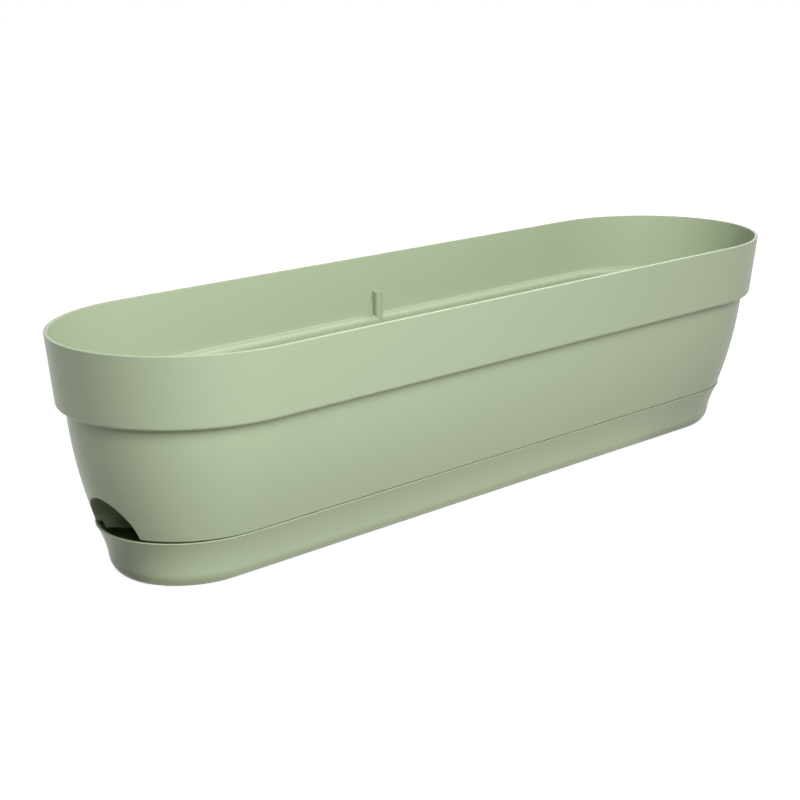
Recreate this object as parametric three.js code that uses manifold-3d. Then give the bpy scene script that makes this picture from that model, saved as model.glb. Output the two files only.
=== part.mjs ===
// Balcony planter: a long oval trough with a rim band, standing in a drip tray that holds water.
// Millimetres, +Z up, X along the planter. The origin is the middle of the tray's underside.
import * as THREE from 'three';
import { mergeVertices } from 'three/addons/utils/BufferGeometryUtils.js';
import Module from 'manifold-3d';

const wasm = await Module();
wasm.setup();

// Overall size
const LENGTH = 700;
const WIDTH = 187.6;
const HEIGHT = 171.3;

// Plan outline: straight sides and half elliptic ends
const END_STRETCH = 1.13; // reach of an end along X for each unit of half width
const END_TAPER = 0.9; // how much the ends draw in for each unit that the sides draw in
const END_STEPS = 20;

// Rim band
const BAND_HEIGHT = 50.2;
const BAND_FOOT_WIDTH = 177.2;
const BAND_CORNER = 3.8;
const RIM_ROUND = 0.8;

// Body wall below the band
const BODY_WALL = 2.7;
const BODY_TOP_WIDTH = 162.6;
const WALL_BELLY = 3;
const WALL_STEPS = 6;
const LEDGE_CORNER = 4.6;
const CORNER_STEPS = 4;

// Drip tray
const TRAY_HEIGHT = 37.5;
const TRAY_LIP_WIDTH = 127.4;
const TRAY_BASE_WIDTH = 109.8;
const TRAY_CORNER = 13.5;
const TRAY_WALL = 2;
const TRAY_FLARE_SAG = 0.8; // how far the flared wall bows in between its corner and its lip
const LIP_ROUND = 0.5;

// How the body meets the tray
const LIP_PROUD = 0.5; // the lip stands this much outside the body's foot
const SHADOW_GAP = 1.2; // between the lip and the foot of the body's wall
const SKIRT_GAP = 0.8; // between the body's skirt and the inside of the tray
const SEAT_GAP = 0.3; // between the wick cups and the tray's floor

// Body floor, and the wick cups that the body stands on
const FLOOR_DROP = 4.5; // from the tray's lip down to the underside of the body's floor
const FLOOR_THICKNESS = 2.6;
const CUP_COUNT = 4;
const CUP_TOP_RADIUS = 24;
const CUP_FOOT_RADIUS = 19;
const CUP_WALL = 2.2;
const CUP_SEGMENTS = 24;
const SLOTS_PER_CUP = 4;
const SLOT_WIDTH = 3;
const SLOT_HEIGHT = 15;
const DRAIN_RADIUS = 4;
const DRAIN_OFFSET = 27; // from the middle line to a drain hole
const DRAIN_MARGIN = 15; // from the last drain hole's middle to the pocket behind the mouth
const DRAIN_SEGMENTS = 12;

// Collars on the tray's floor that place the wick cups
const COLLAR_GAP = 1;
const COLLAR_WALL = 1.8;
const COLLAR_HEIGHT = 3;

// Arched watering mouth low in each end wall, with a domed pocket behind it
const MOUTH_RADIUS = 25.5;
const MOUTH_WALL = 2.4;
const MOUTH_SEGMENTS = 24;

// Hollow boss on the ledge at the middle of each long wall
const BOSS_RADIUS = 3.6;
const BOSS_BORE = 1.6;
const BOSS_HEIGHT = 19.3;
const BOSS_STANDOFF = 3.2; // from the wall's inner face to the boss's axis
const BOSS_SEGMENTS = 16;
const BOSS_WEB = 2.4;

const CUT_MARGIN = 5; // how far a cutting shape runs past what it cuts

// Heights and half widths that follow from the sizes above
const bandBottom = HEIGHT - BAND_HEIGHT;
const ledgeTop = bandBottom + BODY_WALL;
const wallFoot = TRAY_HEIGHT + SHADOW_GAP;
const floorUnderside = TRAY_HEIGHT - FLOOR_DROP;
const floorTop = floorUnderside + FLOOR_THICKNESS;
const cupFoot = TRAY_WALL + SEAT_GAP;
const rimHalf = WIDTH / 2;
const bandFootHalf = BAND_FOOT_WIDTH / 2;
const bodyTopHalf = BODY_TOP_WIDTH / 2;
const trayLipHalf = TRAY_LIP_WIDTH / 2;
const trayBaseHalf = TRAY_BASE_WIDTH / 2;
const bodyFootHalf = trayLipHalf - LIP_PROUD;

// Half length of the outside where its half width is known
function halfLength(halfWidth) {
  return LENGTH / 2 - END_TAPER * (rimHalf - halfWidth);
}

// One level of a moulding: the outside, drawn in all round by an inset
function ring(z, outerHalfWidth, inset = 0) {
  return { z, halfWidth: outerHalfWidth - inset, halfLength: halfLength(outerHalfWidth) - inset };
}

function outline({ z, halfWidth, halfLength: reachX }) {
  const endReach = END_STRETCH * halfWidth;
  const straight = reachX - endReach;
  const points = [];
  for (const side of [1, -1]) {
    for (let i = 0; i <= END_STEPS; i += 1) {
      const angle = Math.PI * (i / END_STEPS - 0.5);
      points.push([side * (straight + endReach * Math.cos(angle)), side * halfWidth * Math.sin(angle), z]);
    }
  }
  return points;
}

// A closed solid through a stack of levels, from the lowest to the highest
function loft(rings) {
  const levels = rings.map(outline);
  const count = levels[0].length;
  const positions = levels.flat(2);
  const index = [];
  for (let level = 0; level < levels.length - 1; level += 1) {
    for (let i = 0; i < count; i += 1) {
      const a = level * count + i;
      const b = level * count + ((i + 1) % count);
      index.push(a, b, b + count, a, b + count, a + count);
    }
  }
  const last = (levels.length - 1) * count;
  for (let i = 1; i < count - 1; i += 1) {
    index.push(0, i + 1, i, last, last + i, last + i + 1);
  }
  const geometry = new THREE.BufferGeometry();
  geometry.setAttribute('position', new THREE.Float32BufferAttribute(positions, 3));
  geometry.setIndex(index);
  return geometry;
}

function toSolid(geometry) {
  const bare = geometry.clone();
  bare.deleteAttribute('normal');
  bare.deleteAttribute('uv');
  const merged = mergeVertices(bare, 1e-4);
  const vertProperties = new Float32Array(merged.attributes.position.array);
  const triVerts = new Uint32Array(merged.index.array);
  return new wasm.Manifold(new wasm.Mesh({ numProp: 3, vertProperties, triVerts }));
}

function toGeometry(solid) {
  const { vertProperties, triVerts } = solid.getMesh();
  const geometry = new THREE.BufferGeometry();
  geometry.setAttribute('position', new THREE.BufferAttribute(vertProperties, 3));
  geometry.setIndex(new THREE.BufferAttribute(triVerts, 1));
  geometry.computeVertexNormals();
  return geometry;
}

// An upright round solid, straight or tapered
function upright(x, y, bottom, top, bottomRadius, topRadius, segments) {
  const geometry = new THREE.CylinderGeometry(topRadius, bottomRadius, top - bottom, segments);
  geometry.rotateX(Math.PI / 2);
  geometry.translate(x, y, (bottom + top) / 2);
  return toSolid(geometry);
}

function block(x, y, z, sizeX, sizeY, sizeZ, turn = 0) {
  const geometry = new THREE.BoxGeometry(sizeX, sizeY, sizeZ);
  geometry.rotateZ(turn);
  geometry.translate(x, y, z);
  return toSolid(geometry);
}

// Half width of the tray's outside at a height above its rounded corner
function trayHalfAt(z) {
  const share = (z - TRAY_CORNER) / (TRAY_HEIGHT - TRAY_CORNER);
  const sag = 4 * TRAY_FLARE_SAG * share * (1 - share);
  return trayBaseHalf + (trayLipHalf - trayBaseHalf) * share - sag;
}

// Half width of the body's outside between its foot and the band
function bodyHalfAt(z) {
  const share = (z - wallFoot) / (bandBottom - wallFoot);
  const belly = 4 * WALL_BELLY * share * (1 - share);
  return bodyFootHalf + (bodyTopHalf - bodyFootHalf) * share + belly;
}

function skirtHalfAt(z) {
  return trayHalfAt(Math.min(z, TRAY_HEIGHT)) - TRAY_WALL - SKIRT_GAP;
}

function steps(count) {
  return Array.from({ length: count + 1 }, (_, i) => i / count);
}

// The levels where a quarter circle turns from a flat face to an upright one
function corner(centreHalf, centreZ, radius, inset = 0) {
  return steps(CORNER_STEPS).map((share) => {
    const angle = (share * Math.PI) / 2;
    const outward = radius * Math.sin(angle);
    return ring(centreZ - radius * Math.cos(angle), centreHalf + inset + outward, inset);
  });
}

// The cups and the drain holes share the floor between the two pockets evenly
const pocketFace = halfLength(bodyFootHalf) - MOUTH_RADIUS - MOUTH_WALL;
const cupPitch = (2 * (pocketFace - DRAIN_MARGIN)) / CUP_COUNT;
const cupPlaces = Array.from({ length: CUP_COUNT }, (_, i) => (i - (CUP_COUNT - 1) / 2) * cupPitch);

function bodyOutside() {
  const wall = steps(WALL_STEPS).map((share) => {
    const z = wallFoot + (bandBottom - wallFoot) * share;
    return ring(z, bodyHalfAt(z));
  });
  return loft([
    ring(floorUnderside, skirtHalfAt(floorUnderside)),
    ring(wallFoot, skirtHalfAt(wallFoot)),
    ...wall,
    ...corner(bandFootHalf - BAND_CORNER, bandBottom + BAND_CORNER, BAND_CORNER),
    ring(HEIGHT - RIM_ROUND, rimHalf),
    ring(HEIGHT, rimHalf - RIM_ROUND),
  ]);
}

function bodyHollow() {
  const innerFoot = wallFoot + BODY_WALL;
  const innerTop = ledgeTop - LEDGE_CORNER;
  const wall = steps(WALL_STEPS).map((share) => {
    const z = innerFoot + (innerTop - innerFoot) * share;
    return ring(z, bodyHalfAt(z), BODY_WALL);
  });
  const innerTopHalf = bodyHalfAt(innerTop);
  const ledge = steps(CORNER_STEPS).slice(1).map((share) => {
    const angle = (share * Math.PI) / 2;
    const z = innerTop + LEDGE_CORNER * Math.sin(angle);
    return ring(z, innerTopHalf + LEDGE_CORNER * (1 - Math.cos(angle)), BODY_WALL);
  });
  return loft([
    ring(floorTop, skirtHalfAt(floorTop), BODY_WALL),
    ring(wallFoot, skirtHalfAt(wallFoot), BODY_WALL),
    ...wall,
    ...ledge,
    ring(ledgeTop, bandFootHalf, BODY_WALL),
    ring(HEIGHT - RIM_ROUND, rimHalf, BODY_WALL),
    ring(HEIGHT, rimHalf, BODY_WALL - RIM_ROUND),
    ring(HEIGHT + CUT_MARGIN, rimHalf, BODY_WALL - RIM_ROUND),
  ]);
}

// The mouth's hollow or, grown by a wall, the pocket that holds it
function mouthShape(end, radius, low, reach) {
  const centreX = end * halfLength(bodyFootHalf);
  const centreZ = wallFoot;
  const dome = new THREE.SphereGeometry(radius, MOUTH_SEGMENTS, MOUTH_SEGMENTS / 2);
  dome.rotateX(Math.PI / 2);
  dome.translate(centreX, 0, centreZ);
  const well = upright(centreX, 0, low, centreZ, radius, radius, MOUTH_SEGMENTS);
  const tunnel = new THREE.CylinderGeometry(radius, radius, reach, MOUTH_SEGMENTS);
  tunnel.rotateZ(Math.PI / 2);
  tunnel.translate(centreX + (end * reach) / 2, 0, centreZ);
  const floorCut = block(centreX, 0, low - radius, 4 * radius, 4 * radius, 2 * radius);
  return toSolid(dome).add(well).add(toSolid(tunnel)).subtract(floorCut);
}

function wickCup(x) {
  const outside = upright(x, 0, cupFoot, floorTop, CUP_FOOT_RADIUS, CUP_TOP_RADIUS, CUP_SEGMENTS);
  const taper = (CUP_TOP_RADIUS - CUP_FOOT_RADIUS) / (floorTop - cupFoot);
  const insideFoot = cupFoot + CUP_WALL;
  const insideTop = floorTop + CUT_MARGIN;
  const footRadius = CUP_FOOT_RADIUS - CUP_WALL + taper * (insideFoot - cupFoot);
  const topRadius = CUP_TOP_RADIUS - CUP_WALL + taper * (insideTop - floorTop);
  let hollow = upright(x, 0, insideFoot, insideTop, footRadius, topRadius, CUP_SEGMENTS);
  const slotMiddle = (cupFoot + CUP_WALL + floorUnderside) / 2;
  for (let i = 0; i < SLOTS_PER_CUP / 2; i += 1) {
    const turn = (Math.PI * (i + 0.5)) / (SLOTS_PER_CUP / 2);
    const slot = block(0, 0, slotMiddle, 2 * (CUP_TOP_RADIUS + CUT_MARGIN), SLOT_WIDTH, SLOT_HEIGHT, turn);
    hollow = hollow.add(slot.translate([x, 0, 0]));
  }
  return { outside, hollow };
}

function ledgeBoss(side) {
  const wallHalf = bandFootHalf - BODY_WALL;
  const y = side * (wallHalf - BOSS_STANDOFF);
  const top = ledgeTop + BOSS_HEIGHT;
  const low = ledgeTop - LEDGE_CORNER;
  const tube = upright(0, y, low, top, BOSS_RADIUS, BOSS_RADIUS, BOSS_SEGMENTS);
  const webReach = BOSS_STANDOFF + BODY_WALL;
  const web = block(0, y + (side * webReach) / 2, (low + top) / 2, BOSS_WEB, webReach, top - low);
  const bore = upright(0, y, ledgeTop, top + CUT_MARGIN, BOSS_BORE, BOSS_BORE, BOSS_SEGMENTS);
  return { outside: tube.add(web), hollow: bore };
}

function makeBody() {
  const skin = toSolid(bodyOutside());
  let body = skin.subtract(toSolid(bodyHollow()));
  for (const end of [1, -1]) {
    const reach = CUT_MARGIN + rimHalf - bodyFootHalf;
    const pocket = mouthShape(end, MOUTH_RADIUS + MOUTH_WALL, floorUnderside, MOUTH_WALL);
    body = body.add(pocket.intersect(skin));
    body = body.subtract(mouthShape(end, MOUTH_RADIUS, floorUnderside - CUT_MARGIN, reach));
  }
  for (const x of cupPlaces) {
    const cup = wickCup(x);
    body = body.add(cup.outside).subtract(cup.hollow);
  }
  for (const side of [1, -1]) {
    const boss = ledgeBoss(side);
    body = body.add(boss.outside.intersect(skin)).subtract(boss.hollow);
  }
  for (let i = 0; i <= CUP_COUNT; i += 1) {
    const x = (i - CUP_COUNT / 2) * cupPitch;
    for (const y of [-DRAIN_OFFSET, DRAIN_OFFSET]) {
      const low = floorUnderside - CUT_MARGIN;
      const high = floorTop + CUT_MARGIN;
      body = body.subtract(upright(x, y, low, high, DRAIN_RADIUS, DRAIN_RADIUS, DRAIN_SEGMENTS));
    }
  }
  return body;
}

function trayWallRings(inset) {
  const flat = trayBaseHalf - TRAY_CORNER;
  const rings = corner(flat, TRAY_CORNER, TRAY_CORNER - inset, inset);
  for (const share of steps(WALL_STEPS).slice(1, -1)) {
    const z = TRAY_CORNER + (TRAY_HEIGHT - TRAY_CORNER) * share;
    rings.push(ring(z, trayHalfAt(z), inset));
  }
  return rings;
}

function makeTray() {
  const outside = loft([
    ...trayWallRings(0),
    ring(TRAY_HEIGHT - LIP_ROUND, trayLipHalf),
    ring(TRAY_HEIGHT, trayLipHalf - LIP_ROUND),
  ]);
  const hollow = loft([
    ...trayWallRings(TRAY_WALL),
    ring(TRAY_HEIGHT - LIP_ROUND, trayLipHalf, TRAY_WALL),
    ring(TRAY_HEIGHT, trayLipHalf, TRAY_WALL - LIP_ROUND),
    ring(TRAY_HEIGHT + CUT_MARGIN, trayLipHalf, TRAY_WALL - LIP_ROUND),
  ]);
  let tray = toSolid(outside).subtract(toSolid(hollow));
  const boreRadius = CUP_FOOT_RADIUS + COLLAR_GAP;
  const collarRadius = boreRadius + COLLAR_WALL;
  const collarTop = TRAY_WALL + COLLAR_HEIGHT;
  const collarFoot = TRAY_WALL / 2;
  for (const x of cupPlaces) {
    const ringOut = upright(x, 0, collarFoot, collarTop, collarRadius, collarRadius, CUP_SEGMENTS);
    const bore = upright(x, 0, TRAY_WALL, collarTop + CUT_MARGIN, boreRadius, boreRadius, CUP_SEGMENTS);
    tray = tray.add(ringOut).subtract(bore);
  }
  return tray;
}

function addPiece(group, name, solid, color, roughness) {
  const material = new THREE.MeshStandardMaterial({ color, roughness, metalness: 0 });
  const mesh = new THREE.Mesh(toGeometry(solid), material);
  mesh.name = name;
  group.add(mesh);
}

const PALE_GREEN = 0xadbb9e;
const PLASTIC_ROUGHNESS = 0.5;

const group = new THREE.Group();
addPiece(group, 'planter_body', makeBody(), PALE_GREEN, PLASTIC_ROUGHNESS);
addPiece(group, 'drip_tray', makeTray(), PALE_GREEN, PLASTIC_ROUGHNESS);

export default group;
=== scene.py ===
"""The look of a balcony planter: a long oval trough with a rim band, standing in its drip tray.

Metres, +Z up, X along the planter, the origin under the middle of the tray.
"""
import math
import bpy
from mathutils import Matrix, Vector


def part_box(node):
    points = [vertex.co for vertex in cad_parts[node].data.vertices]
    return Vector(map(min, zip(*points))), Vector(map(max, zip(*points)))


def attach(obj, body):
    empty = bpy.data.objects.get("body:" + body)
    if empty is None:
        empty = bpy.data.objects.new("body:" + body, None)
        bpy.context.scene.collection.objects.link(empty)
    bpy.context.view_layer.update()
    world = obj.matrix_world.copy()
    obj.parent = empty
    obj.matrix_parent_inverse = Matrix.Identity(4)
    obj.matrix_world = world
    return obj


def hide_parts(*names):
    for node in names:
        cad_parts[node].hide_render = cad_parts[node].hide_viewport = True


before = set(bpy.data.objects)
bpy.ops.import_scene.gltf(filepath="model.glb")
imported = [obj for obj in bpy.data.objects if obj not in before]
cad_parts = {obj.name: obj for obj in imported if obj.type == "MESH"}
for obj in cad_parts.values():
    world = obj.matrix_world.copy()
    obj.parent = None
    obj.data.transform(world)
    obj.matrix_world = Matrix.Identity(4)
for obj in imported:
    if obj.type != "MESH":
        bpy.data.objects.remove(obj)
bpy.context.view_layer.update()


# The drip tray: one thin moulding of satin polypropylene, a flared dish with a rounded foot and
# a fine lip. It catches and stores the water, and the planter stands inside it on its cups.

MM = 0.001
MERGE = 1e-6
TRAY_NODE = "drip_tray"
PLANTER_NODE = "planter_body"
tray_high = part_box(TRAY_NODE)[1]
planter_low, planter_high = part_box(PLANTER_NODE)

HALF_LENGTH = planter_high.x
RIM_HALF_WIDTH = planter_high.y
END_STRETCH = 1.13
END_TAPER = 0.9
END_STEPS = 56
SIDE_STEPS = 28
ROUND_STEPS = 24

TRAY_TOP = tray_high.z
TRAY_LIP_HALF = tray_high.y
TRAY_FOOT_HALF = 54.1 * MM
TRAY_SAG = 2.95 * MM
TRAY_CORNER_TOP = 12.0 * MM
TRAY_CORNER_STEPS = 14
TRAY_ROWS = 14
TRAY_WALL = 2.0 * MM
LIP_ROUND = 0.6 * MM
LIP_DROP = 0.6 * MM
EDGE_STEPS = 5
EDGE_START = 15
FINE_STEPS = 4


def steps(count):
    """Shares from 0 to 1, both ends included."""
    return [i / count for i in range(count + 1)]


def between(first, last, count):
    """Even steps from one value to another, both ends included."""
    return [first + (last - first) * share for share in steps(count)]


def arc(centre, radius, start, end, count):
    """Points of a round corner in a section, from one angle to another in degrees."""
    angles = [math.radians(turn) for turn in between(start, end, count)]
    return [(centre[0] + radius * math.cos(a), centre[1] + radius * math.sin(a)) for a in angles]


def outside(points):
    """Section points on a moulding's outer face: half width, no inset, height."""
    return [(half, 0.0, z) for half, z in points]


def inside(points, wall):
    """Section points on a moulding's inner face, one wall's thickness behind the outer face."""
    return [(half + wall, wall, z) for half, z in points]


def rounded_edge(half, wall, low, rounding):
    """Section points of a moulding's top edge, with its two small rounded corners."""
    corners = arc((half - rounding, low), rounding, EDGE_START, 90, EDGE_STEPS)
    corners += arc((half - wall + rounding, low), rounding, 90, 180 - EDGE_START, EDGE_STEPS)
    return [(half, half - across, z) for across, z in corners]


def link(tree, source, target):
    """Joins a socket to an input, or sets the input to a plain value."""
    if isinstance(source, bpy.types.NodeSocket):
        tree.links.new(source, target)
    else:
        target.default_value = source


def calc(tree, operation, *values):
    """One Math node."""
    made = tree.nodes.new("ShaderNodeMath")
    made.operation = operation
    for value, socket in zip(values, made.inputs):
        link(tree, value, socket)
    return made.outputs[0]


def add_node(tree, kind, inputs=None, **settings):
    """A node with its settings and its inputs by name."""
    made = tree.nodes.new(kind)
    for key, value in settings.items():
        setattr(made, key, value)
    for key, value in (inputs or {}).items():
        link(tree, value, made.inputs[key])
    return made


def new_tree(name, inputs, outputs=(("Mesh", "NodeSocketGeometry"),), kind="GeometryNodeTree"):
    """A node tree with named inputs and outputs, each with the type of its socket."""
    tree = bpy.data.node_groups.new(name, kind)
    for side, sockets in (("INPUT", inputs), ("OUTPUT", outputs)):
        for label, socket_type in sockets:
            tree.interface.new_socket(label, in_out=side, socket_type=socket_type)
    start = tree.nodes.new("NodeGroupInput")
    end = tree.nodes.new("NodeGroupOutput")
    return tree, start.outputs, end.inputs


def merged(tree, geometry):
    """Makes one point of points that lie on each other."""
    made = add_node(tree, "GeometryNodeMergeByDistance", {"Geometry": geometry, "Distance": MERGE})
    return made.outputs[0]


def oval_moulding_tree():
    """Sweeps a section round an oval: straight sides and stretched half round ends.

    The section's points hold the outer half width, the inset behind it and the height.
    """
    tree, given, result = new_tree("oval_moulding", [
        ("Section", "NodeSocketGeometry"),
        ("Half Length", "NodeSocketFloat"),
        ("Half Width", "NodeSocketFloat"),
        ("End Stretch", "NodeSocketFloat"),
        ("End Taper", "NodeSocketFloat"),
        ("End Steps", "NodeSocketInt"),
        ("Side Steps", "NodeSocketInt"),
    ])
    counted = add_node(tree, "GeometryNodeAttributeDomainSize", {"Geometry": given["Section"]})
    rows = counted.outputs["Point Count"]
    half_turn = calc(tree, "ADD", given["End Steps"], given["Side Steps"])
    columns = calc(tree, "MULTIPLY_ADD", half_turn, 2.0, 1.0)
    grid = add_node(tree, "GeometryNodeMeshGrid", {"Vertices X": columns, "Vertices Y": rows})

    index = add_node(tree, "GeometryNodeInputIndex").outputs[0]
    row = calc(tree, "FLOORED_MODULO", index, rows)
    column = calc(tree, "FLOOR", calc(tree, "DIVIDE", calc(tree, "ADD", index, 0.5), rows))
    half = calc(tree, "FLOOR", calc(tree, "DIVIDE", calc(tree, "ADD", column, 0.5), half_turn))
    place = calc(tree, "SUBTRACT", column, calc(tree, "MULTIPLY", half, half_turn))
    sign = calc(tree, "SUBTRACT", 1.0, calc(tree, "MULTIPLY", calc(tree, "FLOORED_MODULO", half, 2.0), 2.0))
    round_share = calc(tree, "MINIMUM", calc(tree, "DIVIDE", place, given["End Steps"]), 1.0)
    angle = calc(tree, "MULTIPLY", calc(tree, "SUBTRACT", round_share, 0.5), math.pi)
    along = calc(tree, "MAXIMUM", calc(tree, "SUBTRACT", place, given["End Steps"]), 0.0)
    side_share = calc(tree, "DIVIDE", along, given["Side Steps"])
    side = calc(tree, "SUBTRACT", 1.0, calc(tree, "MULTIPLY", side_share, 2.0))

    sample = add_node(tree, "GeometryNodeSampleIndex", {
        "Geometry": given["Section"],
        "Value": add_node(tree, "GeometryNodeInputPosition").outputs[0],
        "Index": row,
    }, data_type="FLOAT_VECTOR")
    section = add_node(tree, "ShaderNodeSeparateXYZ", {0: sample.outputs[0]}).outputs
    width = calc(tree, "SUBTRACT", section["X"], section["Y"])
    narrower = calc(tree, "SUBTRACT", given["Half Width"], section["X"])
    drawn_in = calc(tree, "MULTIPLY", narrower, given["End Taper"])
    reach = calc(tree, "SUBTRACT", calc(tree, "SUBTRACT", given["Half Length"], drawn_in), section["Y"])
    end = calc(tree, "MULTIPLY", width, given["End Stretch"])
    straight = calc(tree, "SUBTRACT", reach, end)
    x = calc(tree, "MULTIPLY_ADD", side, straight, calc(tree, "MULTIPLY", end, calc(tree, "COSINE", angle)))
    y = calc(tree, "MULTIPLY", width, calc(tree, "SINE", angle))
    where = add_node(tree, "ShaderNodeCombineXYZ", {
        "X": calc(tree, "MULTIPLY", x, sign),
        "Y": calc(tree, "MULTIPLY", y, sign),
        "Z": section["Z"],
    })
    placed = add_node(tree, "GeometryNodeSetPosition", {
        "Geometry": grid.outputs["Mesh"],
        "Position": where.outputs[0],
    })
    link(tree, merged(tree, placed.outputs[0]), result["Mesh"])
    return tree


def new_object(name, data):
    """An object with its data, in the scene."""
    made = bpy.data.objects.new(name, data)
    bpy.context.scene.collection.objects.link(made)
    return made


def mesh_object(name, points, edges, faces):
    """A mesh object made of plain points, edges and faces."""
    mesh = bpy.data.meshes.new(name)
    mesh.from_pydata(points, edges, faces)
    return new_object(name, mesh)


def settle(obj, name, material=None):
    """The evaluated object as a plain mesh object of its own, with nothing live on it."""
    depsgraph = bpy.context.evaluated_depsgraph_get()
    mesh = bpy.data.meshes.new_from_object(obj.evaluated_get(depsgraph), depsgraph=depsgraph)
    if material:
        mesh.materials.clear()
        mesh.materials.append(material)
        mesh.polygons.foreach_set("material_index", [0] * len(mesh.polygons))
    made = new_object(name, mesh)
    mesh.name = name
    return made


def nodes_on(obj, tree, values):
    """Puts a geometry tree on an object and sets its named inputs by their identifiers."""
    modifier = obj.modifiers.new(tree.name, "NODES")
    modifier.node_group = tree
    for item in tree.interface.items_tree:
        if item.item_type == "SOCKET" and item.in_out == "INPUT" and item.name in values:
            modifier[item.identifier] = values[item.name]


oval_moulding = oval_moulding_tree()


def swept(name, section, **changed):
    """A closed moulding swept from a section that starts and ends on its middle line."""
    edges = [(i, i + 1) for i in range(len(section) - 1)]
    holder = mesh_object(name + "_section", section, edges, [])
    values = {
        "Half Length": HALF_LENGTH, "Half Width": RIM_HALF_WIDTH,
        "End Stretch": END_STRETCH, "End Taper": END_TAPER,
        "End Steps": END_STEPS, "Side Steps": SIDE_STEPS,
    }
    nodes_on(holder, oval_moulding, {**values, **changed})
    made = settle(holder, name)
    bpy.data.objects.remove(holder)
    return made


def turned(name, section, steps_round=ROUND_STEPS):
    """A round solid on the Z axis, swept from a section of radius and height."""
    widest = max(radius for radius, _ in section)
    return swept(name, outside(section), **{
        "Half Length": widest, "Half Width": widest, "End Stretch": 1.0, "End Taper": 1.0,
        "End Steps": steps_round, "Side Steps": 1,
    })


def tray_half(z):
    """Half width of the tray's hollow flare at a height."""
    share = z / TRAY_TOP
    return TRAY_FOOT_HALF + (TRAY_LIP_HALF - TRAY_FOOT_HALF) * share - 4 * TRAY_SAG * share * (1 - share)


def tray_slope(z):
    """How steeply the flare opens at a height, as an angle from upright in degrees."""
    share = z / TRAY_TOP
    opens = (TRAY_LIP_HALF - TRAY_FOOT_HALF - 4 * TRAY_SAG * (1 - 2 * share)) / TRAY_TOP
    return math.degrees(math.atan(opens))


def tray_section():
    """The tray from the middle of its underside, over the lip, to the middle of its floor."""
    lean = tray_slope(TRAY_CORNER_TOP)
    radius = TRAY_CORNER_TOP / (1 - math.sin(math.radians(lean)))
    flat = tray_half(TRAY_CORNER_TOP) - radius * math.cos(math.radians(lean))
    lip_low = TRAY_TOP - LIP_ROUND
    wall = between(TRAY_CORNER_TOP, lip_low, TRAY_ROWS)[1:]
    outer = [(0.0, 0.0), (flat / 2, 0.0)]
    outer += arc((flat, radius), radius, -90, -lean, TRAY_CORNER_STEPS)
    outer += [(tray_half(z), z) for z in wall]
    lip = rounded_edge(TRAY_LIP_HALF, TRAY_WALL, lip_low, LIP_ROUND)
    inner = [(tray_half(z) - TRAY_WALL, z) for z in reversed(wall)]
    inner += arc((flat, radius), radius - TRAY_WALL, -lean, -90, TRAY_CORNER_STEPS)
    inner += [(flat / 2, TRAY_WALL), (0.0, TRAY_WALL)]
    return outside(outer) + lip + inside(inner, TRAY_WALL)


OPENING_FROM = 258.0 * MM
OPENING_FULL = 320.0 * MM


def opening(x):
    """How far the gap between the two mouldings has opened here: 0 along the sides, 1 at a mouth."""
    return min(max((abs(x) - OPENING_FROM) / (OPENING_FULL - OPENING_FROM), 0.0), 1.0)


CUP_COUNT = 4
CUP_FOOT_RADIUS = 19.0 * MM
CUP_PITCH = 139.78 * MM
COLLAR_GAP = 1.0 * MM
COLLAR_WALL = 1.8 * MM
COLLAR_HEIGHT = 3.0 * MM
COLLAR_SINK = 0.5 * MM
COLLAR_ROUND = 0.6 * MM
SEAT_RECESS = 0.1 * MM
SEAT_EASE_END = 100
CLEAR = 3.0 * MM


def post_section(radius, low, top, rounding):
    """An upright post with a rounded top edge."""
    corner = arc((radius - rounding, top - rounding), rounding, 0, 90, FINE_STEPS)
    return [(0.0, low), (radius, low), *corner, (0.0, top)]


def eased_edge(radius, top, ease, ease_end, count):
    """Where a round cutter leaves a face: it eases the edge and goes on up, clear of the part."""
    edge = arc((radius + ease, top - ease), ease, 180, ease_end, count)
    return [(radius, top - ease), *edge[1:], (radius + ease, top + CLEAR), (0.0, top + CLEAR)]


def mesh_of(tree, thing):
    """The mesh of an object that a tree is given."""
    return add_node(tree, "GeometryNodeObjectInfo", {"Object": thing}).outputs["Geometry"]


def on_points(tree, geometry, points, rotation=(0.0, 0.0, 0.0)):
    """Real copies of a mesh on points."""
    placed = add_node(tree, "GeometryNodeInstanceOnPoints", {
        "Points": points, "Instance": geometry, "Rotation": rotation,
    })
    return add_node(tree, "GeometryNodeRealizeInstances", {"Geometry": placed.outputs[0]}).outputs[0]


def row_of_points(tree, count, pitch, y=0.0):
    """Points in a row along X, centred on the origin."""
    reach = calc(tree, "MULTIPLY", calc(tree, "MULTIPLY", calc(tree, "SUBTRACT", count, 1.0), pitch), -0.5)
    start = add_node(tree, "ShaderNodeCombineXYZ", {"X": reach, "Y": y}).outputs[0]
    step = add_node(tree, "ShaderNodeCombineXYZ", {"X": pitch}).outputs[0]
    line = add_node(tree, "GeometryNodeMeshLine", {"Count": count, "Start Location": start, "Offset": step})
    return line.outputs[0]


def boolean(tree, operation, first, *others):
    """Joins, cuts or crosses solids."""
    made = tree.nodes.new("GeometryNodeMeshBoolean")
    made.operation = operation
    made.solver = "EXACT"
    if operation == "DIFFERENCE":
        link(tree, first, made.inputs["Mesh 1"])
    else:
        others = (first, *others)
    for other in others:
        tree.links.new(other, made.inputs["Mesh 2"])
    return made.outputs["Mesh"]


CREASE = math.radians(32)


def shaded(tree, geometry):
    """Smooth faces, with a hard line only where two faces meet at more than the crease angle."""
    smooth = add_node(tree, "GeometryNodeSetShadeSmooth", {"Geometry": geometry, "Shade Smooth": True})
    angle = add_node(tree, "GeometryNodeInputMeshEdgeAngle").outputs["Unsigned Angle"]
    return add_node(tree, "GeometryNodeSetShadeSmooth", {
        "Geometry": smooth.outputs[0],
        "Selection": calc(tree, "GREATER_THAN", angle, CREASE),
        "Shade Smooth": False,
    }, domain="EDGE").outputs[0]


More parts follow.
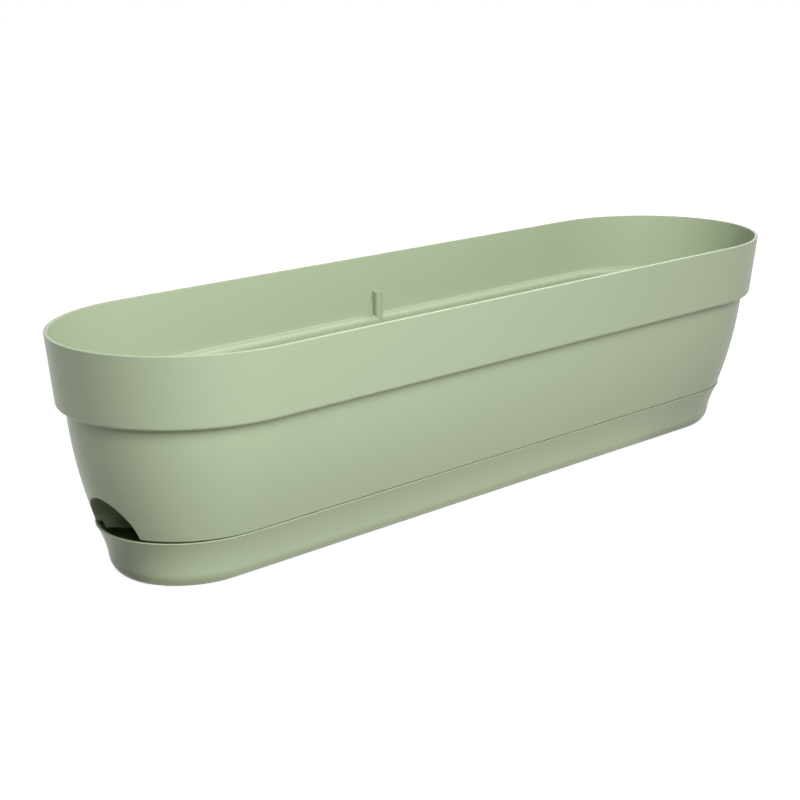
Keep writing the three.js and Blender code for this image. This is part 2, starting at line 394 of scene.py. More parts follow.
def finished(tree, geometry, material):
    """Merges what the cuts left doubled, sets the shading and the material."""
    whole = shaded(tree, merged(tree, geometry))
    real = add_node(tree, "GeometryNodeRealizeInstances", {"Geometry": whole}).outputs[0]
    return add_node(tree, "GeometryNodeSetMaterial", {"Geometry": real, "Material": material}).outputs[0]


def tray_tree():
    """The dish with its row of collars."""
    tree, given, result = new_tree("tray_with_collars", [
        ("Dish", "NodeSocketGeometry"),
        ("Collar", "NodeSocketObject"),
        ("Seat", "NodeSocketObject"),
        ("Cups", "NodeSocketInt"),
        ("Pitch", "NodeSocketFloat"),
        ("Material", "NodeSocketMaterial"),
    ])
    points = row_of_points(tree, given["Cups"], given["Pitch"])
    joined = boolean(tree, "UNION", given["Dish"], on_points(tree, mesh_of(tree, given["Collar"]), points))
    cut = boolean(tree, "DIFFERENCE", joined, on_points(tree, mesh_of(tree, given["Seat"]), points))
    link(tree, finished(tree, cut, given["Material"]), result["Mesh"])
    return tree


def settled_moulding(name, material, live, *spares):
    """A moulding as a plain mesh, its flat faces leading the shading. What made it is removed."""
    weigh = live.modifiers.new("flat_faces_lead", "WEIGHTED_NORMAL")
    weigh.keep_sharp = True
    made = settle(live, name, material)
    for spare in (live, *spares):
        bpy.data.objects.remove(spare)
    return made


PLASTIC_COLOUR = (180, 193, 163)
PLASTIC_ROUGHNESS = 0.38
PLASTIC_SHEEN = 0.24
PLASTIC_IOR = 1.49
TONE_DRIFT = 0.05
RUB_DRIFT = 0.12
GRAIN_SIZE = 0.35 * MM
GRAIN_DEPTH = 0.012 * MM
SLOW_NOISE = {"Scale": 9.0, "Detail": 3.0, "Roughness": 0.5}
RUB_NOISE = {"Scale": 42.0, "Detail": 5.0, "Roughness": 0.65}
GRAIN_NOISE = {"Detail": 2.0, "Roughness": 0.6}


def linear(colour):
    """A written sRGB colour, 0 to 255, as linear light."""
    shares = [c / 255 for c in colour]
    return [s / 12.92 if s <= 0.04045 else ((s + 0.055) / 1.055) ** 2.4 for s in shares] + [1.0]


def moulded_grain_group():
    """The skin of satin moulded plastic: fine spark grain, slow tone drift and faint handling marks."""
    group, given, result = new_tree("moulded_grain", [
        ("Vector", "NodeSocketVector"),
        ("Colour", "NodeSocketColor"),
        ("Drift", "NodeSocketFloat"),
        ("Roughness", "NodeSocketFloat"),
        ("Grain Size", "NodeSocketFloat"),
    ], [
        ("Colour", "NodeSocketColor"),
        ("Roughness", "NodeSocketFloat"),
        ("Height", "NodeSocketFloat"),
    ], "ShaderNodeTree")

    def noise(look):
        """One layer of noise over the surface."""
        return add_node(group, "ShaderNodeTexNoise", {"Vector": given["Vector"], **look}).outputs["Fac"]

    swing = calc(group, "MULTIPLY", calc(group, "SUBTRACT", noise(SLOW_NOISE), 0.5), given["Drift"])
    tone = calc(group, "ADD", swing, 1.0)
    tinted = add_node(group, "ShaderNodeHueSaturation", {"Color": given["Colour"], "Value": tone})
    link(group, tinted.outputs["Color"], result["Colour"])
    polish = calc(group, "MULTIPLY", calc(group, "SUBTRACT", noise(RUB_NOISE), 0.5), RUB_DRIFT)
    link(group, calc(group, "ADD", given["Roughness"], polish), result["Roughness"])
    cells = calc(group, "DIVIDE", 1.0, given["Grain Size"])
    link(group, noise({**GRAIN_NOISE, "Scale": cells}), result["Height"])
    return group


moulded_grain = moulded_grain_group()


def moulded_plastic(name, shade=None):
    """Satin polypropylene as it comes from the mould, with painted shade laid into its colour where a shade
    mask is given.
    """
    material = bpy.data.materials.new(name)
    material.use_nodes = True
    tree = material.node_tree
    shader = tree.nodes["Principled BSDF"].inputs
    where = add_node(tree, "ShaderNodeTexCoord").outputs["Object"]
    grain = add_node(tree, "ShaderNodeGroup", {
        "Vector": where, "Colour": linear(PLASTIC_COLOUR), "Drift": TONE_DRIFT,
        "Roughness": PLASTIC_ROUGHNESS, "Grain Size": GRAIN_SIZE,
    }, node_tree=moulded_grain).outputs
    bump = add_node(tree, "ShaderNodeBump", {"Height": grain["Height"], "Distance": GRAIN_DEPTH})
    skin = grain["Colour"]
    # Painted shade: the mask darkens the base colour.
    if shade:
        toned = add_node(tree, "ShaderNodeHueSaturation", {"Color": skin, "Value": shade(tree, where)})
        skin = toned.outputs["Color"]
    link(tree, skin, shader["Base Color"])
    link(tree, grain["Roughness"], shader["Roughness"])
    link(tree, bump.outputs[0], shader["Normal"])
    shader["IOR"].default_value = PLASTIC_IOR
    shader["Specular IOR Level"].default_value = PLASTIC_SHEEN
    return material


tray_plastic = moulded_plastic("tray_polypropylene")
collar_bore = CUP_FOOT_RADIUS + COLLAR_GAP
collar_top = TRAY_WALL + COLLAR_HEIGHT
seat_low = TRAY_WALL - SEAT_RECESS

dish = swept("dish", tray_section())
for vertex in dish.data.vertices:
    vertex.co.z *= 1 - opening(vertex.co.x) * LIP_DROP / TRAY_TOP
collar = turned("collar", post_section(
    collar_bore + COLLAR_WALL, TRAY_WALL - COLLAR_SINK, collar_top, COLLAR_ROUND,
))
seat = turned("seat", [
    (0.0, seat_low), (collar_bore, seat_low),
    *eased_edge(collar_bore, collar_top, COLLAR_ROUND, SEAT_EASE_END, FINE_STEPS),
])
nodes_on(dish, tray_tree(), {
    "Collar": collar, "Seat": seat, "Cups": CUP_COUNT, "Pitch": CUP_PITCH, "Material": tray_plastic,
})
tray = settled_moulding("tray_moulding", tray_plastic, dish, collar, seat)
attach(tray, "tray")
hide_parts(TRAY_NODE)


# The planter: one moulding of the same polypropylene. A tall rim band steps out over a bellied
# wall, and the step makes a ledge inside. It stands in the tray on its hollow wick cups.

BAND_BOTTOM = planter_high.z - 50.2 * MM
BAND_FOOT_HALF = 88.6 * MM
BAND_CORNER = 2.6 * MM
RIM_ROUND = 0.5 * MM
BODY_WALL = 2.7 * MM
BODY_TOP_HALF = 81.3 * MM
WALL_BELLY = 3.0 * MM
STEP_ROUND = 1.5 * MM
SKIRT_STEP = 0.3 * MM
FOOT_ROUND = 0.4 * MM
LEDGE_CORNER = 4.6 * MM
LEDGE_FILLET = 1.2 * MM
LEDGE_DROP = 0.6 * MM
LIP_PROUD = 0.5 * MM
SHADOW_GAP = 1.2 * MM
SKIRT_GAP = 0.8 * MM
FLOOR_UNDERSIDE = TRAY_TOP - 4.5 * MM
FLOOR_THICKNESS = 2.6 * MM
FLOOR_FILLET = 2.0 * MM
SKIRT_ROUND = 1.0 * MM
SKIRT_RETREAT = 2.5 * MM
FOOT_DROP = 0.6 * MM
FOOT_MARGIN = 0.1 * MM
CORE_SHARE = 0.45
BODY_ROWS = 22
BAND_ROWS = 8
BEND_STEPS = 10

RIM_TOP = planter_high.z
BODY_FOOT_HALF = TRAY_LIP_HALF - LIP_PROUD
WALL_FOOT = TRAY_TOP + SHADOW_GAP
FLOOR_TOP = FLOOR_UNDERSIDE + FLOOR_THICKNESS
LEDGE_TOP = BAND_BOTTOM + BODY_WALL - LEDGE_DROP


def wall_half(z):
    """Half width of the body's outer face between its foot and the band."""
    share = (z - WALL_FOOT) / (BAND_BOTTOM - WALL_FOOT)
    return BODY_FOOT_HALF + (BODY_TOP_HALF - BODY_FOOT_HALF) * share + 4 * WALL_BELLY * share * (1 - share)


def skirt_half(z):
    """Half width of the skirt, which follows the inside of the tray with a running gap."""
    return tray_half(min(z, TRAY_TOP)) - TRAY_WALL - SKIRT_GAP


def band_half(z):
    """Half width of the band's outer face."""
    low = BAND_BOTTOM + BAND_CORNER
    return BAND_FOOT_HALF + (RIM_HALF_WIDTH - BAND_FOOT_HALF) * (z - low) / (RIM_TOP - RIM_ROUND - low)


def low_corner(half, low, rounding, count=EDGE_STEPS):
    """The rounded lower corner of an outer face."""
    return arc((half - rounding, low + rounding), rounding, -90, 0, count)


def outer_points():
    """The outer face from the middle of the floor's underside to the rim's outer edge."""
    skirt_low = skirt_half(FLOOR_UNDERSIDE)
    skirt_top = skirt_half(WALL_FOOT)
    low = WALL_FOOT + FOOT_ROUND
    high = BAND_BOTTOM - STEP_ROUND
    band_low = BAND_BOTTOM + BAND_CORNER
    band_high = RIM_TOP - RIM_ROUND
    points = [(0.0, FLOOR_UNDERSIDE), (skirt_low / 2, FLOOR_UNDERSIDE)]
    points += low_corner(skirt_low, FLOOR_UNDERSIDE, SKIRT_ROUND)
    points += [(skirt_top, WALL_FOOT - SKIRT_STEP), (skirt_top + SKIRT_STEP, WALL_FOOT)]
    points += low_corner(BODY_FOOT_HALF, WALL_FOOT, FOOT_ROUND)
    points += [(wall_half(z), z) for z in between(low, high, BODY_ROWS)[1:]]
    points += arc((wall_half(high) + STEP_ROUND, high), STEP_ROUND, 180, 90, FINE_STEPS)[1:]
    points += low_corner(BAND_FOOT_HALF, BAND_BOTTOM, BAND_CORNER, BEND_STEPS)
    points += [(band_half(z), z) for z in between(band_low, band_high, BAND_ROWS)[1:]]
    return points


def inner_points():
    """The inner face from the rim's inner edge down to the middle of the floor."""
    band_high = RIM_TOP - RIM_ROUND
    band_low = LEDGE_TOP + LEDGE_FILLET
    corner = band_half(band_low) - BODY_WALL - LEDGE_FILLET
    high = LEDGE_TOP - LEDGE_CORNER
    low = WALL_FOOT + BODY_WALL
    floor_edge = skirt_half(FLOOR_TOP) - BODY_WALL
    points = [(band_half(z) - BODY_WALL, z) for z in between(band_high, band_low, BAND_ROWS)]
    points += arc((corner, band_low), LEDGE_FILLET, 0, -90, EDGE_STEPS)[1:]
    points += arc((wall_half(high) - BODY_WALL + LEDGE_CORNER, high), LEDGE_CORNER, 90, 180, BEND_STEPS)
    points += [(wall_half(z) - BODY_WALL, z) for z in between(high, low, BODY_ROWS)[1:]]
    points += [(skirt_half(WALL_FOOT) - BODY_WALL, WALL_FOOT)]
    points += arc((floor_edge - FLOOR_FILLET, FLOOR_TOP + FLOOR_FILLET), FLOOR_FILLET, 0, -90, EDGE_STEPS)
    points += [(floor_edge / 2, FLOOR_TOP), (0.0, FLOOR_TOP)]
    return points


def body_section():
    """The body from the middle of its underside, over the rim, to the middle of its floor."""
    rim = rounded_edge(RIM_HALF_WIDTH, BODY_WALL, RIM_TOP - RIM_ROUND, RIM_ROUND)
    return outside(outer_points()) + rim + inside(inner_points(), BODY_WALL)


def core_section():
    """A solid whose skin runs inside the thickness of the wall: it trims what is moulded on inside."""
    depth = BODY_WALL * CORE_SHARE
    floor = FLOOR_UNDERSIDE + depth
    outer = outer_points()
    section = [(depth, depth, floor), (outer[1][0], depth, floor)]
    section += [(half, depth, z) for half, z in outer[2:]]
    return section + [(depth, depth, RIM_TOP - RIM_ROUND)]


def seated(obj):
    """Lowers the foot onto the lip along the sides, and draws the skirt back below the mouths."""
    for vertex in obj.data.vertices:
        share = opening(vertex.co.x)
        if vertex.co.z < WALL_FOOT - FOOT_MARGIN:
            vertex.co.x -= math.copysign(SKIRT_RETREAT * share, vertex.co.x)
        if abs(vertex.co.z - WALL_FOOT) < FOOT_ROUND + FOOT_MARGIN:
            vertex.co.z -= FOOT_DROP * (1 - share)
    return obj


def moved(obj, x, y):
    """Moves an object's mesh, while the object stays at the origin."""
    obj.data.transform(Matrix.Translation((x, y, 0.0)))
    return obj


def lofted(name, rings):
    """A closed solid through rings that have the same number of points."""
    count = len(rings[0])
    points = [point for ring in rings for point in ring]
    last = len(points) - count
    faces = [tuple(reversed(range(count))), tuple(range(last, len(points)))]
    for start in range(0, last, count):
        for i in range(count):
            a, b = start + i, start + (i + 1) % count
            faces.append((a, b, b + count, a + count))
    return mesh_object(name, points, [], faces)


POCKET_WALL = 2.4 * MM
POCKET_STEPS = 40
DOME_STEPS = 24
MOUTH_RADIUS = 25.5 * MM
MOUTH_EASE = 0.7 * MM
MOUTH_EASE_TURN = math.radians(78)
MOUTH_EASE_STEPS = 7
MOUTH_REACH_IN = 12.0 * MM
MOUTH_REACH_OUT = 8.0 * MM
MOUTH_NARROWS = 0.4
MOUTH_FLARE = 1.1
MOUTH_ARCH_STEPS = 56
MOUTH_CORNER = 1.4 * MM
MOUTH_CORNER_STEPS = 6
MOUTH_FOOT_EASE = 0.3
MOUTH_FOOT_STEP = 0.2 * MM
MOUTH_LOW = FLOOR_UNDERSIDE - 5.0 * MM
BURIED = 0.4 * MM
mouth_x = HALF_LENGTH - END_TAPER * (RIM_HALF_WIDTH - BODY_FOOT_HALF)


def bullet(name, radius, low):
    """A domed upright solid at the end that the mouth is in."""
    dome = arc((0.0, WALL_FOOT), radius, 0, 90, DOME_STEPS)
    section = [(0.0, low), (radius, low), (radius, WALL_FOOT), *dome[1:]]
    return moved(turned(name, section, POCKET_STEPS), mouth_x, 0.0)


def end_wall_x(y, z):
    """Where the outer face of the end wall is, from the middle of the planter."""
    half = wall_half(max(z, WALL_FOOT))
    reach = HALF_LENGTH - END_TAPER * (RIM_HALF_WIDTH - half)
    end = END_STRETCH * half
    return reach - end + end * math.sqrt(max(1 - (y / half) ** 2, 0.0))


def mouth_outline(grow):
    """The half round arch of the mouth, wider by so much, with small rounded corners at its foot."""
    radius = MOUTH_RADIUS + grow
    corner = math.asin(MOUTH_CORNER / MOUTH_RADIUS)
    turns = [corner + (math.pi - 2 * corner) * share for share in steps(MOUTH_ARCH_STEPS)]
    foot = WALL_FOOT - grow * MOUTH_FOOT_EASE
    step = min(foot, WALL_FOOT) - MOUTH_FOOT_STEP
    left = arc((-radius - MOUTH_CORNER, foot + MOUTH_CORNER), MOUTH_CORNER, 0, -90, MOUTH_CORNER_STEPS)[1:]
    left += [(left[-1][0], step), (-radius, step)]
    outline = [(radius * math.cos(a), WALL_FOOT + radius * math.sin(a)) for a in turns]
    outline += left + [(-radius, MOUTH_LOW), (radius, MOUTH_LOW)]
    return outline + [(-y, z) for y, z in reversed(left)]


def mouth_cutter():
    """The arched way in: it narrows inwards, and its eased edge follows the curved end wall."""
    rings = [(MOUTH_REACH_IN, -MOUTH_RADIUS * MOUTH_NARROWS), (MOUTH_EASE, 0.0)]
    for share in steps(MOUTH_EASE_STEPS)[1:]:
        turn = MOUTH_EASE_TURN * share
        rings.append((MOUTH_EASE * (1 - math.sin(turn)), MOUTH_EASE * (1 - math.cos(turn))))
    rings.append((-MOUTH_REACH_OUT, MOUTH_EASE * MOUTH_FLARE))
    return lofted("mouth_cutter", [
        [(end_wall_x(y, z) - depth, y, z) for y, z in mouth_outline(grow)]
        for depth, grow in rings
    ])


CUP_TOP_RADIUS = 24.0 * MM
CUP_WALL = 2.2 * MM
CUP_ROUND = 1.2 * MM
CUP_STEPS = 36
EASE_END = 102
SLOT_WIDTH = 3.0 * MM
SLOT_HEIGHT = 15.0 * MM
SLOTS_PER_CUP = 4
DRAIN_RADIUS = 4.0 * MM
DRAIN_OFFSET = 27.0 * MM
DRAIN_EASE = 0.8 * MM
DRAIN_STEPS = 16
cup_foot = planter_low.z


def cup_radius(z, inset=0.0):
    """Radius of the tapered cup at a height."""
    share = (z - cup_foot) / (FLOOR_TOP - cup_foot)
    return CUP_FOOT_RADIUS + (CUP_TOP_RADIUS - CUP_FOOT_RADIUS) * share - inset


def cup_solid():
    """The cup's outside, from its rounded foot to inside the floor."""
    top = FLOOR_TOP - BURIED
    foot = low_corner(cup_radius(cup_foot + CUP_ROUND), cup_foot, CUP_ROUND)
    return turned("cup", [(0.0, cup_foot), *foot, (cup_radius(top), top), (0.0, top)], CUP_STEPS)


def cup_hollow():
    """The cup's inside, eased where it meets the floor."""
    low = cup_foot + CUP_WALL
    foot = low_corner(cup_radius(low, CUP_WALL), low, CUP_ROUND)
    mouth = cup_radius(FLOOR_TOP - CUP_ROUND, CUP_WALL)
    edge = eased_edge(mouth, FLOOR_TOP, CUP_ROUND, EASE_END, EDGE_STEPS)
    return turned("cup_hollow", [(0.0, low), *foot, *edge], CUP_STEPS)


def slot_cutter():
    """One upright slot with half round ends that passes right through a cup."""
    middle = (cup_foot + CUP_WALL + FLOOR_UNDERSIDE) / 2
    radius = SLOT_WIDTH / 2
    straight = SLOT_HEIGHT / 2 - radius
    outline = [(y, middle + straight + z) for y, z in arc((0.0, 0.0), radius, 0, 180, BEND_STEPS)]
    outline += [(y, middle - straight + z) for y, z in arc((0.0, 0.0), radius, 180, 360, BEND_STEPS)]
    reach = CUP_TOP_RADIUS + CLEAR
    return lofted("slot_cutter", [[(x, y, z) for y, z in outline] for x in (-reach, reach)])


def drain_cutter():
    """A round drain hole, eased at the top of the floor."""
    low = FLOOR_UNDERSIDE - CLEAR
    edge = eased_edge(DRAIN_RADIUS, FLOOR_TOP, DRAIN_EASE, EASE_END, FINE_STEPS)
    return turned("drain", [(0.0, low), (DRAIN_RADIUS, low), *edge], DRAIN_STEPS)


BOSS_RADIUS = 3.1 * MM
BOSS_STEPS = 20
BOSS_HEIGHT = 19.9 * MM
BOSS_STANDOFF = 4.6 * MM
BOSS_EASE = 0.2 * MM
WEB_THICKNESS = 2.0 * MM
WEB_OVERRUN = 4.0 * MM
BORE_RADIUS = 1.5 * MM
BORE_STEPS = 16
BORE_EASE_END = 105
BORE_EASE_STEPS = 3
boss_y = BAND_FOOT_HALF - BODY_WALL - BOSS_STANDOFF
boss_low = LEDGE_TOP - LEDGE_CORNER
boss_top = LEDGE_TOP + BOSS_HEIGHT


def boss_solid():
    """The round boss that stands on the ledge against the band."""
    section = post_section(BOSS_RADIUS, boss_low, boss_top, BOSS_EASE)
    return moved(turned("boss", section, BOSS_STEPS), 0.0, boss_y)


def boss_web():
    """The web that ties the boss to the band's inner face."""
    half = WEB_THICKNESS / 2
    far = boss_y + (BOSS_STANDOFF + BODY_WALL + WEB_OVERRUN)
    outline = [(-half, boss_y), (half, boss_y), (half, far), (-half, far)]
    return lofted("boss_web", [[(x, y, z) for x, y in outline] for z in (boss_low, boss_top - BOSS_EASE)])


def boss_bore():
    """The blind bore down the boss."""
    edge = eased_edge(BORE_RADIUS, boss_top, BOSS_EASE, BORE_EASE_END, BORE_EASE_STEPS)
    section = [(0.0, LEDGE_TOP), (BORE_RADIUS, LEDGE_TOP), *edge]
    return moved(turned("boss_bore", section, BORE_STEPS), 0.0, boss_y)


def planter_tree(things):
    """The trough with its mouths, cups, slots, drain holes and bosses."""
    tree, given, result = new_tree("planter_features", [
        ("Trough", "NodeSocketGeometry"),
        *[(thing, "NodeSocketObject") for thing in things],
        ("Cups", "NodeSocketInt"),
        ("Slots", "NodeSocketInt"),
        ("Pitch", "NodeSocketFloat"),
        ("Drain Offset", "NodeSocketFloat"),
        ("Material", "NodeSocketMaterial"),
    ])

    def mesh(thing):
        """The mesh of one of the things that are joined on or cut out."""
        return mesh_of(tree, given[thing])

    def turned_points(count, full_turn):
        """Points at the origin, each with its own share of a turn."""
        points = add_node(tree, "GeometryNodeMeshLine", {"Count": count, "Offset": (0.0, 0.0, 0.0)})
        index = add_node(tree, "GeometryNodeInputIndex").outputs[0]
        turn = calc(tree, "MULTIPLY", calc(tree, "DIVIDE", index, count), full_turn)
        return points.outputs[0], add_node(tree, "ShaderNodeCombineXYZ", {"Z": turn}).outputs[0]

    both, half_turns = turned_points(2, 2 * math.pi)

    def at_both(thing):
        """A thing and its twin half a turn round: at the other end, or on the other long side."""
        return on_points(tree, mesh(thing), both, half_turns)

    inner = boolean(tree, "UNION", at_both("Pocket"), at_both("Boss"), at_both("Web"))
    trimmed = boolean(tree, "INTERSECT", inner, mesh("Core"))
    cups = row_of_points(tree, given["Cups"], given["Pitch"])
    whole = boolean(tree, "UNION", given["Trough"], trimmed, on_points(tree, mesh("Cup"), cups))

    fan, fan_turns = turned_points(calc(tree, "DIVIDE", given["Slots"], 2.0), math.pi)
    slot_fan = add_node(tree, "GeometryNodeTransform", {
        "Geometry": on_points(tree, mesh("Slot"), fan, fan_turns),
        "Rotation": (0.0, 0.0, math.pi / 4),
    }).outputs[0]
    drains_across = calc(tree, "ADD", given["Cups"], 1.0)

    def drain_row(side):
        """The row of drain holes on one side of the cups."""
        y = calc(tree, "MULTIPLY", given["Drain Offset"], side)
        return on_points(tree, mesh("Drain"), row_of_points(tree, drains_across, given["Pitch"], y))

    cut = boolean(tree, "DIFFERENCE", whole, at_both("Well"), at_both("Mouth"))
    cut = boolean(tree, "DIFFERENCE", cut, on_points(tree, mesh("Cup Hollow"), cups))
    cut = boolean(tree, "DIFFERENCE", cut, on_points(tree, slot_fan, cups), drain_row(1.0), drain_row(-1.0))
    cut = boolean(tree, "DIFFERENCE", cut, at_both("Bore"))
    link(tree, finished(tree, cut, given["Material"]), result["Mesh"])
    return tree


# Painted shade: the body's colour is darkened inside the two domed pockets behind the mouths.
POCKET_PAINTED_SHADE = 0.72
POCKET_DEPTH_FROM = 0.5 * MM
POCKET_DEPTH_FULL = 3.0 * MM
POCKET_SKIN = POCKET_WALL / 3


def length(tree, vector):
    """How long a vector is."""
    return add_node(tree, "ShaderNodeVectorMath", {0: vector}, operation="LENGTH").outputs["Value"]


def painted_pocket_shade(tree, where):
    """Painted shade over the body: darker inside the two domed pockets, from just behind the mouth's edge.
    """
    place = add_node(tree, "ShaderNodeSeparateXYZ", {0: where}).outputs
    depth = calc(tree, "SUBTRACT", mouth_x, calc(tree, "ABSOLUTE", place["X"]))
    above = calc(tree, "MAXIMUM", calc(tree, "SUBTRACT", place["Z"], WALL_FOOT), 0.0)
    offset = add_node(tree, "ShaderNodeCombineXYZ", {"X": depth, "Y": place["Y"], "Z": above}).outputs[0]
    in_pocket = calc(tree, "LESS_THAN", length(tree, offset), MOUTH_RADIUS + POCKET_SKIN)
    deep = add_node(tree, "ShaderNodeMapRange", {
        "Value": depth, "From Min": POCKET_DEPTH_FROM, "From Max": POCKET_DEPTH_FULL,
    }).outputs[0]
    mask = calc(tree, "MULTIPLY", in_pocket, deep)
    return calc(tree, "SUBTRACT", 1.0, calc(tree, "MULTIPLY", mask, 1.0 - POCKET_PAINTED_SHADE))


# The body's plastic has painted shade inside its pockets.
body_plastic = moulded_plastic("body_polypropylene", painted_pocket_shade)
trough = seated(swept("trough", body_section()))
parts = {
    "Core": seated(swept("core", core_section())),
    "Pocket": bullet("pocket", MOUTH_RADIUS + POCKET_WALL, FLOOR_UNDERSIDE + BURIED),
    "Well": bullet("well", MOUTH_RADIUS, MOUTH_LOW),
    "Mouth": mouth_cutter(),
    "Cup": cup_solid(),
    "Cup Hollow": cup_hollow(),
    "Slot": slot_cutter(),
    "Drain": drain_cutter(),
    "Boss": boss_solid(),
    "Web": boss_web(),
    "Bore": boss_bore(),
}
nodes_on(trough, planter_tree(parts), {
    **parts, "Cups": CUP_COUNT, "Slots": SLOTS_PER_CUP, "Pitch": CUP_PITCH,
    "Drain Offset": DRAIN_OFFSET, "Material": body_plastic,
})
planter = settled_moulding("planter_moulding", body_plastic, trough, *parts.values())
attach(planter, "planter")
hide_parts(PLANTER_NODE)


# The studio: a wide sheet of white paper, with soft boxes above the front, high overhead and, more weakly,
# behind. For the planter the paper is black and glows instead, as painted bounce light: in a round pool in
# front, and in a rectangle behind the planter that lights it along the back and round the near end.

FLOOR_HALF = 14.0
FLOOR_ROUGHNESS = 0.9
FLOOR_SEEN = (0.5, 0.5, 0.5, 1.0)
FLOOR_GIVES = (0.0, 0.0, 0.0, 1.0)
GLOW_NEAR = 0.9
GLOW_FAR = 1.0
NEAR_REACH = 0.6
FAR_REACH = 1.3
# Painted bounce light: for the planter the paper is black, and the pool and the rectangle glow in place of
# light it would give back. The pool's glow is tinted warm.
POOL_PLACE = (-0.08, -0.31, 0.0)
POOL_RADIUS = 0.37
POOL_GLOW_STRENGTH = 0.27
POOL_TINT = (1.0, 1.0, 0.8, 1.0)
BACK_GLOW_PLACE = (-0.85, 0.93, 0.0)
BACK_GLOW_HALVES = (1.15, 0.9, 1.0)
BACK_GLOW_STRENGTH = 1.0
WHITE = (1.0, 1.0, 1.0, 1.0)


def backdrop_rays(tree):
    """1 for the rays that must find the white backdrop: straight, mirrored or passed through."""
    rays = add_node(tree, "ShaderNodeLightPath").outputs
    seen = calc(tree, "MAXIMUM", rays["Is Camera Ray"], rays["Is Glossy Ray"])
    return calc(tree, "MAXIMUM", seen, rays["Is Transmission Ray"])


def colour_mix(tree, share, first, second):
    """A mix of two colours, from all of the first at 0 to all of the second at 1."""
    made = add_node(tree, "ShaderNodeMix", {"Factor": share}, data_type="RGBA")
    ends = [socket for socket in made.inputs if socket.type == "RGBA"]
    ends[0].default_value = first
    ends[1].default_value = second
    return [socket for socket in made.outputs if socket.type == "RGBA"][0]


def away_from(tree, where, place):
    """The way from a place on the paper to the point that is looked at."""
    made = add_node(tree, "ShaderNodeVectorMath", {0: where, 1: place}, operation="SUBTRACT")
    return made.outputs["Vector"]


def round_pool(tree, where, place, radius):
    """1 inside a circle on the paper, 0 outside."""
    return calc(tree, "LESS_THAN", length(tree, away_from(tree, where, place)), radius)


def glowing_rectangle(tree, where, place, halves):
    """1 inside a rectangle on the paper, 0 outside."""
    scaled = {0: away_from(tree, where, place), 1: halves}
    share = add_node(tree, "ShaderNodeVectorMath", scaled, operation="DIVIDE").outputs["Vector"]
    sides = add_node(tree, "ShaderNodeSeparateXYZ", {0: share}).outputs
    widest = calc(tree, "MAXIMUM", calc(tree, "ABSOLUTE", sides["X"]), calc(tree, "ABSOLUTE", sides["Y"]))
    return calc(tree, "LESS_THAN", widest, 1.0)


paper = bpy.data.materials.new("studio_paper")
paper.use_nodes = True
paper_tree = paper.node_tree
paper_shader = paper_tree.nodes["Principled BSDF"].inputs
seen = backdrop_rays(paper_tree)
unseen = calc(paper_tree, "SUBTRACT", 1.0, seen)
spot = add_node(paper_tree, "ShaderNodeTexCoord").outputs["Object"]
glow = add_node(paper_tree, "ShaderNodeMapRange", {
    "Value": length(paper_tree, spot), "From Min": NEAR_REACH, "From Max": FAR_REACH,
    "To Min": GLOW_NEAR, "To Max": GLOW_FAR,
}).outputs[0]
in_pool = round_pool(paper_tree, spot, POOL_PLACE, POOL_RADIUS)
in_back_glow = glowing_rectangle(paper_tree, spot, BACK_GLOW_PLACE, BACK_GLOW_HALVES)
pool = calc(paper_tree, "MULTIPLY", in_pool, POOL_GLOW_STRENGTH)
back_glow = calc(paper_tree, "MULTIPLY", in_back_glow, BACK_GLOW_STRENGTH)
# Painted bounce light: the paper glows in the pool and the rectangle for every ray but the backdrop rays.
painted_bounce = calc(paper_tree, "ADD", pool, back_glow)
strength = add_node(paper_tree, "ShaderNodeMix", {"Factor": seen, "A": painted_bounce, "B": glow}).outputs[0]
tone = colour_mix(paper_tree, seen, FLOOR_GIVES, FLOOR_SEEN)
tint = colour_mix(paper_tree, calc(paper_tree, "MULTIPLY", in_pool, unseen), WHITE, POOL_TINT)
link(paper_tree, tone, paper_shader["Base Color"])
link(paper_tree, tint, paper_shader["Emission Color"])
link(paper_tree, strength, paper_shader["Emission Strength"])
paper_shader["Roughness"].default_value = FLOOR_ROUGHNESS
paper_shader["Specular IOR Level"].default_value = 0.0

corners = ((-1, -1), (1, -1), (1, 1), (-1, 1))
sheet = [(x * FLOOR_HALF, y * FLOOR_HALF, 0.0) for x, y in corners]
floor = mesh_object("studio_floor", sheet, [], [(0, 1, 2, 3)])
floor.data.materials.append(paper)

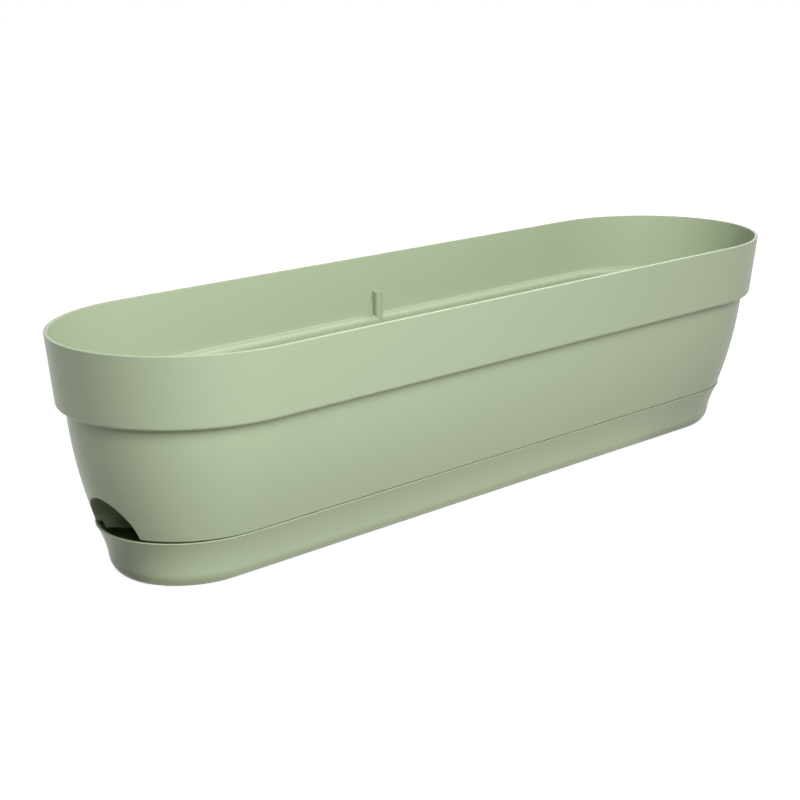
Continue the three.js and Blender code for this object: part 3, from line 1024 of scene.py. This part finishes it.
world = bpy.data.worlds.new("studio")
bpy.context.scene.world = world
world.use_nodes = True
sky = world.node_tree
link(sky, backdrop_rays(sky), sky.nodes["Background"].inputs["Strength"])
sky.nodes["Background"].inputs["Color"].default_value = WHITE

AIM = Vector((0.0, 0.0, 0.1))


def softbox(name, place, width, height, power):
    """A soft light that faces the planter."""
    light = bpy.data.lights.new(name, "AREA")
    light.shape = "RECTANGLE"
    light.size = width
    light.size_y = height
    light.energy = power
    made = new_object(name, light)
    made.location = place
    made.rotation_euler = (AIM - Vector(place)).to_track_quat("-Z", "Y").to_euler()


softbox("key", (-0.53, -0.85, 0.85), 1.0, 0.7, 11.0)
softbox("sheen", (-0.05, -0.9, 0.8), 0.3, 0.5, 1.7)
softbox("low_front", (-0.25, -0.99, 0.43), 0.7, 0.95, 3.9)
softbox("far_top", (0.7, 0.0, 1.4), 0.7, 0.7, 7.6)
softbox("near_top", (-0.3, 0.0, 1.4), 0.7, 0.7, 2.0)
softbox("back_fill", (1.0, 0.85, 0.55), 0.7, 0.5, 2.8)


# The camera stands beyond the near end and above it, as in the photograph. It is moved a little
# to the left and up, so that the planter has the same place in the picture as it has there.

AZIMUTH = math.radians(-43.8162)
ELEVATION = math.radians(15.8633)
DISTANCE = 1.3072
MOVED_RIGHT = -0.0387
MOVED_UP = 0.0647
FOCAL_PIXELS = 1618.42
FRAME_PIXELS = 800
SENSOR = 36.0
CLIP_NEAR = 0.05
CLIP_FAR = 100.0
level = math.cos(ELEVATION)
back = Vector((math.sin(AZIMUTH) * level, -math.cos(AZIMUTH) * level, math.sin(ELEVATION)))
right = Vector((math.cos(AZIMUTH), math.sin(AZIMUTH), 0.0))
up = back.cross(right)
lens = bpy.data.cameras.new("camera")
lens.sensor_width = SENSOR
lens.lens = FOCAL_PIXELS / FRAME_PIXELS * SENSOR
lens.clip_start = CLIP_NEAR
lens.clip_end = CLIP_FAR
camera = new_object("camera", lens)
camera.location = back * DISTANCE + right * MOVED_RIGHT + up * MOVED_UP
camera.rotation_euler = (-back).to_track_quat("-Z", "Y").to_euler()
bpy.context.scene.camera = camera
bpy.context.scene.view_settings.view_transform = "Standard"
